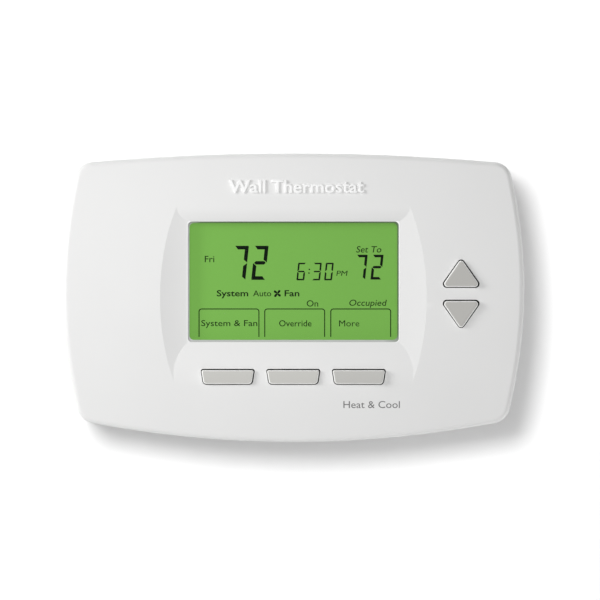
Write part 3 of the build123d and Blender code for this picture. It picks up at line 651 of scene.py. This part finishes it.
def digit(sign, look):
    # seven-segment figure with its lower left corner at the origin
    wide, tall, across, upright, gap = (look[k] * mm for k in ("width", "height", "across", "upright", "gap"))
    half = tall / 2
    lying = wide - 0.6 * gap
    standing = half - 0.9 * gap
    bars = []
    for letter in digitSegments[sign]:
        if letter == "g":
            bar = strokeShape(lying - 0.5 * upright, across * 0.95, True)
            bar.data.transform(Matrix.Translation((wide / 2, 0, half)))
        elif letter in "ad":
            bar = strokeShape(lying, across, False)
            flip = Matrix.Rotation(math.pi, 4, "Y") if letter == "d" else Matrix.Identity(4)
            z = tall - across / 2 if letter == "a" else across / 2
            bar.data.transform(Matrix.Translation((wide / 2, 0, z)) @ flip)
        else:
            bar = strokeShape(standing, upright, False)
            right = letter in "bc"
            turn = Matrix.Rotation(math.radians(90 if right else -90), 4, "Y")
            x = wide - upright / 2 if right else upright / 2
            z = tall - half / 2 if letter in "bf" else half / 2
            bar.data.transform(Matrix.Translation((x, 0, z)) @ turn)
        bars.append(bar)
    return joined(bars, "digit")


def leaning(degrees):
    # slants upright strokes to the right
    lean = Matrix.Identity(4)
    lean[0][2] = math.tan(math.radians(degrees))
    return lean


def fanBlade(angle):
    bpy.ops.mesh.primitive_circle_add(vertices=16, radius=0.5, fill_type="NGON", rotation=facingRoom)
    blade = active()
    blade.scale = (fan["reach"] * mm, fan["width"] * mm, 1)
    bake(blade, Matrix.Translation((fan["reach"] * 0.55 * mm, 0, 0)))
    pick(blade, "VERT", lambda v: v.co.z > 0 and v.co.x > 0.4 * fan["reach"] * mm)
    bpy.ops.transform.translate(value=(0, 0, fan["curl"] * mm))
    done()
    modify(blade, "SOLIDIFY", thickness=inkThick, offset=0)
    blade.data.transform(Matrix.Translation((fan["at"][0] * mm, displayFace, fan["at"][1] * mm))
                         @ Matrix.Rotation(math.radians(angle), 4, "Y"))
    return blade


figures = []
for look in readings.values():
    for i, sign in enumerate(look["text"]):
        figure = digit(sign, look)
        corner = Vector(((look["left"] + i * look["pitch"]) * mm, displayFace, look["bottom"] * mm))
        figure.data.transform(Matrix.Translation(corner) @ leaning(look["slant"]))
        figures.append(figure)
for z in colon["heights"]:
    dot = ((colon["left"] + z * colon["lean"]) * mm, displayFace, z * mm)
    bpy.ops.mesh.primitive_cylinder_add(vertices=16, radius=colon["radius"] * mm, depth=inkThick,
                                        location=dot, rotation=facingRoom)
    figures.append(bake(active()))
print("display figures:", len(figures))


# display captions
letterCap = 0.682  # cap height of the built-in letters, for a size of one
captions = {
    # text: left, right, base line, cap height, slant, added weight
    "Fri": (-29.25, -26.1, 11.7, 2.05, 0, 0.012),
    "PM": (14.2, 17.65, 7.2, 1.65, 10, 0),
    "Set To": (20.7, 28.95, 14.9, 2.05, 10, 0.012),
    "System": (-25.3, -14.9, 0.45, 1.95, 0, 0.05),
    "Auto": (-13.3, -7.3, 0.45, 1.9, 0, 0.012),
    "Fan": (-2.9, 2.0, 0.45, 1.95, 0, 0.05),
    "On": (4.4, 8.2, -2.95, 2.05, 0, 0.012),
    "Occupied": (18.3, 30.5, -2.7, 2.0, 10, 0.012),
    "System & Fan": (-30.4, -11.9, -9.4, 1.95, 0, 0.012),
    "Override": (-4.7, 6.0, -9.5, 2.0, 0, 0.012),
    "More": (15.1, 21.8, -9.5, 2.0, 0, 0),
}
tabs = {"lefts": (-31.3, -9.6, 12.2), "width": 20.1, "top": -3.6, "bottom": -13.0, "line": 0.33,
        "corner": 1.0}


def fitted(words, left, right, base, slant=0.0):
    # stretches words between left and right, on a base line
    xs = [v.co.x for v in words.data.vertices]
    fit = (right - left) * mm / (max(xs) - min(xs))
    words.data.transform(Matrix.Translation((left * mm, 0, base * mm)) @ leaning(slant)
                         @ Matrix.Diagonal((fit, 1, 1, 1)) @ Matrix.Translation((-min(xs), 0, 0)))
    return words


def textMesh(text, cap, mergeWithin, curveSteps=3, **shape):
    # words as a closed mesh that faces the room, capitals cap mm high
    bpy.ops.object.text_add()
    words = active()
    words.data.body = text
    words.data.size = cap / letterCap * mm
    words.data.resolution_u = curveSteps
    for key, value in shape.items():
        setattr(words.data, key, value)
    bpy.ops.object.convert(target="MESH")
    words = active()
    words.rotation_euler = facingRoom
    return merged(bake(words), mergeWithin)


def lettering(text, left, right, base, cap, slant=0.0, weight=0.0, thick=inkThick):
    words = textMesh(text, cap, 1e-7, offset=weight * mm, extrude=thick / 2)
    return fitted(words, left, right, base, slant)


def tabOutline(left):
    # a line round a soft key's label, open at the bottom
    wide, line = tabs["width"] * mm, tabs["line"] * mm
    low, high = tabs["bottom"] * mm - line, tabs["top"] * mm
    middle = (low + high) / 2
    bpy.ops.mesh.primitive_plane_add(size=1, rotation=facingRoom)
    sheet = active()
    sheet.dimensions = (wide, high - low, 0)
    bpy.context.view_layer.update()
    bake(sheet, Matrix.Translation((left * mm + wide / 2, displayFace, middle)))
    pick(sheet, "VERT", lambda v: v.co.z > middle)
    bpy.ops.mesh.bevel(offset=tabs["corner"] * mm, segments=5, affect="VERTICES")
    bpy.ops.mesh.select_all(action="SELECT")
    bpy.ops.mesh.inset(thickness=line, use_boundary=True)
    bpy.ops.mesh.delete(type="FACE")
    bpy.ops.mesh.select_all(action="SELECT")
    bpy.ops.mesh.bisect(plane_co=(0, 0, tabs["bottom"] * mm), plane_no=(0, 0, -1), clear_outer=True)
    done()
    return modify(sheet, "SOLIDIFY", thickness=inkThick, offset=0)


printed = []
for text, (left, right, base, cap, slant, weight) in captions.items():
    word = lettering(text, left, right, base, cap, slant, weight)
    word.data.transform(Matrix.Translation((0, displayFace, 0)))
    printed.append(word)
printed += [tabOutline(left) for left in tabs["lefts"]]
figures += [fanBlade(45 + 360 / fan["blades"] * i) for i in range(fan["blades"])]
for name, shapes, colour in (("Figures", figures, "segment"), ("Captions", printed, "print")):
    ink = plastic("display" + name, displayLook[colour], 0.4, bump=0.0, mottle=0.1, specular=0.0)
    piece = "display_" + name.lower()
    place(joined(shapes, piece), piece, "thermostat", ink)
print("display captions set")


# words on the case: raised above the display, printed below it
raised = {"text": "Wall Thermostat", "left": -21.2, "right": 23.4, "base": 34.6, "cap": 4.0, "rise": 0.6,
          "round": 0.14, "weight": 0.16, "depth": 0.3}
note = {"text": "Heat & Cool", "left": 16.5, "right": 35.1, "base": -36.4, "cap": 2.3, "thick": 0.03,
        "lift": 0.005}


def draped(obj, surface, lift):
    # moves each point towards the room, on to the surface below it
    for v in obj.data.vertices:
        y = depthAt(surface, v.co.x, v.co.z)
        if y is not None:
            v.co.y += y - lift
    obj.data.update()
    return obj


word = textMesh(raised["text"], raised["cap"], 1e-6, 5, extrude=raised["depth"] * mm, bevel_resolution=2,
                bevel_depth=raised["round"] * mm, offset=(raised["weight"] - raised["round"]) * mm)
fitted(word, raised["left"], raised["right"], raised["base"])
front = min(v.co.y for v in word.data.vertices)
word.data.transform(Matrix.Translation((0, -front - raised["rise"] * mm, 0)))
smooth(draped(word, nodes["front_cover"], 0), 40)
# the letters are the case's white plastic, painted lighter as a highlight on their tops
place(word, "raised_word", "thermostat",
      plastic("raisedWhiteLit", (0.93, 0.93, 0.925), 0.4, bump=0.03))

word = lettering(note["text"], note["left"], note["right"], note["base"], note["cap"],
                 thick=note["thick"] * mm)
draped(word, nodes["front_cover"], note["lift"] * mm)
place(word, "printed_note", "thermostat", greyPrint)
print("words on the case set")


# marks on the wall side: terminal letters, mounting guides, rating label, polarity
printLift = 0.005 * mm
terminals = {"pitch": 5.08, "cap": 1.5, "wide": 1.3, "left": "RCWYGOBS", "right": "12345678",
             "edges": {"left": -21.2, "right": 19.9}}
guides = {"up": (8.4, 26.2, 3.2), "arrow": (2.2, 32.2), "crosses": (-30, 30), "cross": (14, 6, 0.3),
          "pinColumns": (-50, -25, 25, 50), "pinRows": (-28, 28)}
pin = {"outer": (5.0, 2.4), "inner": (4.5, 2.2), "depths": (-0.01, 0.03)}  # each ring's size and corner
label = {"x": -44.5, "z": 4.0, "width": 19.0, "height": 15.0, "corner": 1.2, "rise": 0.06,
         "text": ("24 V ~ 60 Hz", "1 A MAX", "3 x AAA"), "letter": 0.95, "cap": 1.6, "first": 7.4,
         "pitch": 3.6, "rules": (6.1, 2.5), "rule": (16.5, 0.15)}
# what is printed on a cell, its place along it, its length and its cap height
cellText = (("AAA 1.5 V", -4, 13, 2.1), ("+", 15.5, 2.6, 3.8), ("-", -17.5, 1.6, 3.8))


def mark(text, left, right, base, cap, y, seenFromWall=False):
    # printed words at a depth y, read from the room or from the wall
    word = lettering(text, left, right, base, cap)
    turn = Matrix.Rotation(math.pi, 4, "Z") if seenFromWall else Matrix.Identity(4)
    word.data.transform(Matrix.Translation((0, y, 0)) @ turn)
    return word


def rule(width, height, y, x, z):
    bpy.ops.mesh.primitive_cube_add(size=1)
    strip = active()
    strip.scale = (width * mm, inkThick, height * mm)
    return bake(strip, Matrix.Translation((x * mm, y, z * mm)))


def pinMark(x, z, y):
    # the ring that an ejector pin leaves in the moulding
    outer, outerCorner, inner, innerCorner = (size * mm for size in pin["outer"] + pin["inner"])
    low, high = (y + depth * mm for depth in pin["depths"])
    at = (x * mm, z * mm)
    ring = block(outer, outer, low, high, outerCorner, at)
    return cutOut(ring, block(inner, inner, y - cutMargin, y + cutMargin, innerCorner, at))


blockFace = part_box("left_terminal_block")[0].y - printLift
letters = []
for side, edge in terminals["edges"].items():
    for row, letter in enumerate(terminals[side]):
        base = ((len(terminals[side]) - 1) / 2 - row) * terminals["pitch"] - terminals["cap"] / 2
        letters.append(mark(letter, edge, edge + terminals["wide"], base, terminals["cap"], blockFace))
place(joined(letters, "terminal_letters"), "terminal_letters", bodyOf["left_terminal_block"],
      whitePrint)

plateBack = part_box("wall_plate")[1].y + printLift
upWidth, upBase, upCap = guides["up"]
arrowRadius, arrowHeight = guides["arrow"]
crossWide, crossTall, crossLine = guides["cross"]
marks = [mark("UP", -upWidth / 2, upWidth / 2, upBase, upCap, plateBack, True)]
bpy.ops.mesh.primitive_cylinder_add(vertices=3, radius=arrowRadius * mm, depth=inkThick,
                                    location=(0, plateBack, arrowHeight * mm), rotation=facingRoom)
marks.append(bake(active()))
for x in guides["crosses"]:
    marks.append(rule(crossWide, crossLine, plateBack, x, 0))
    marks.append(rule(crossLine, crossTall, plateBack, x, 0))
marks += [pinMark(x, z, plateBack) for x in guides["pinColumns"] for z in guides["pinRows"]]
place(joined(marks, "mounting_marks"), "mounting_marks", bodyOf["wall_plate"],
      plastic("mountingMarks", (0.42, 0.42, 0.41), 0.55, bump=0.02))

labelMiddle = (label["x"] * mm, label["z"] * mm)
labelBack = depthAt(nodes["rear_cover"], *labelMiddle, 1)
foil = block(label["width"] * mm, label["height"] * mm, labelBack - inkThick, labelBack + label["rise"] * mm,
             label["corner"] * mm, labelMiddle)
place(foil, "rating_label", "thermostat", metal("ratingFoil", (0.72, 0.73, 0.74), 0.34, 1600.0))
inkFace = labelBack + label["rise"] * mm + inkThick / 2
textLeft = -label["x"] - label["rule"][0] / 2 + 0.25
lines = [mark(text, textLeft, textLeft + label["letter"] * len(text), label["first"] - label["pitch"] * i,
              label["cap"], inkFace, True) for i, text in enumerate(label["text"])]
lines += [rule(*label["rule"], inkFace, label["x"], z) for z in label["rules"]]
place(joined(lines, "rating_text"), "rating_text", "thermostat", greyPrint)

cellMarks = []
for centre, direction in cellDirections.items():
    for text, z, length, cap in cellText:
        word = lettering(text, -length / 2, length / 2, -cap / 2, cap)
        upright = Matrix.Rotation(-math.pi / 2, 4, "Y")
        word.data.transform(Matrix.Translation((0, 0, direction * z * mm)) @ upright)
        for v in word.data.vertices:  # wrapped round the sleeve
            across = min(abs(v.co.x), r * 0.95 * mm)
            v.co.y -= math.sqrt((r * mm) ** 2 - across ** 2) + cell["height"] * mm
            v.co.x += centre * mm
        cellMarks.append(word)
place(joined(cellMarks, "battery_marks"), "battery_marks", "battery_tray", whitePrint)
print("marks set")


# camera, wall and light
view = {
    "width": 198.1 * mm,  # what the frame takes in at the front of the case
    "aim": (2.2 * mm, -0.8 * mm),
    "distance": 1.6,
    "depth": -30 * mm,
    "sensor": 36.0,
}
lights = [
    {"name": "sideLight", "at": (-1.065, -0.665, 0.336), "size": 0.6, "power": 8.0, "on": "object"},
    {"name": "frontLight", "at": (0.0, -1.485, 0.209), "size": 0.9, "power": 8.76, "on": "object"},
    {"name": "lowLight", "at": (0.0, -0.746, -1.065), "size": 0.6, "power": 2.3, "on": "object"},
    {"name": "nearLight", "at": (-0.472, -0.272, 0.077), "size": 0.2, "power": 0.5, "on": "object"},
    {"name": "backLight", "at": (0.15, 1.5, 0.3), "size": 0.9, "power": 10.5, "on": "object"},
    {"name": "underLight", "at": (1.0, -0.03, -1.0), "size": 0.6, "power": 4.2, "on": "object"},
    {"name": "wallLight", "at": (-0.33, -1.5, 0.36), "size": 0.5, "power": 16.0, "on": "stage"},
    {"name": "wallFill", "at": (0.0, -2.0, 0.0), "size": 2.4, "power": 19.0, "on": "stage"},
]
# a dim room for its light, a pale one where it is seen past the wall's edge
room = {"light": 0.187, "seen": 0.8}

wallLook = {"size": 6, "behind": 0.3 * mm, "colour": (0.93, 0.93, 0.93, 1), "roughness": 0.9}

camera = bpy.data.cameras.new("camera")
camera.sensor_width = view["sensor"]
camera.lens = view["sensor"] * view["distance"] / view["width"]
camera.clip_start = 0.05
cameraObject = bpy.data.objects.new("camera", camera)
bpy.context.scene.collection.objects.link(cameraObject)
cameraObject.location = (view["aim"][0], view["depth"] - view["distance"], view["aim"][1])
cameraObject.rotation_euler = facingRoom
bpy.context.scene.camera = cameraObject
bpy.context.scene.view_settings.view_transform = "Standard"

bpy.ops.mesh.primitive_plane_add(size=wallLook["size"], location=(0, wallLook["behind"], 0),
                                 rotation=facingRoom)
wall = active()
wall.name = "wall"
wall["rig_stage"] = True
wallPaint, n, link, shader = newMaterial("wallPaint")
shader.inputs["Base Color"].default_value = wallLook["colour"]
shader.inputs["Roughness"].default_value = wallLook["roughness"]
shader.inputs["Specular IOR Level"].default_value = 0.0
choose = n.new("ShaderNodeMixShader")  # clear from behind, so that the wall plate's back can be seen
link.new(n.new("ShaderNodeNewGeometry").outputs["Backfacing"], choose.inputs[0])
link.new(shader.outputs[0], choose.inputs[1])
link.new(n.new("ShaderNodeBsdfTransparent").outputs[0], choose.inputs[2])
link.new(choose.outputs[0], n["Material Output"].inputs["Surface"])
wall.data.materials.append(wallPaint)
wall.visible_shadow = False

receivers = {name: bpy.data.collections.new(name) for name in ("object", "stage")}
receivers["stage"].objects.link(wall)
for item in lights:
    lamp = bpy.data.lights.new(item["name"], "AREA")
    lamp.shape = "DISK"
    lamp.size = item["size"]
    lamp.energy = item["power"]
    lampObject = bpy.data.objects.new(item["name"], lamp)
    bpy.context.scene.collection.objects.link(lampObject)
    lampObject.location = item["at"]
    lampObject.rotation_euler = (-Vector(item["at"])).to_track_quat("-Z", "Y").to_euler()
    lampObject.light_linking.receiver_collection = receivers[item["on"]]

world = bpy.data.worlds.new("room")
bpy.context.scene.world = world
world.use_nodes = True
background = world.node_tree.nodes["Background"]
background.inputs["Color"].default_value = (1, 1, 1, 1)
glow = world.node_tree.nodes.new("ShaderNodeMix")
glow.inputs["A"].default_value = room["light"]
glow.inputs["B"].default_value = room["seen"]
path = world.node_tree.nodes.new("ShaderNodeLightPath")
world.node_tree.links.new(path.outputs["Is Camera Ray"], glow.inputs["Factor"])
world.node_tree.links.new(glow.outputs["Result"], background.inputs["Strength"])
print("camera, wall and lights set")

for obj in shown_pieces():
    receivers["object"].objects.link(obj)
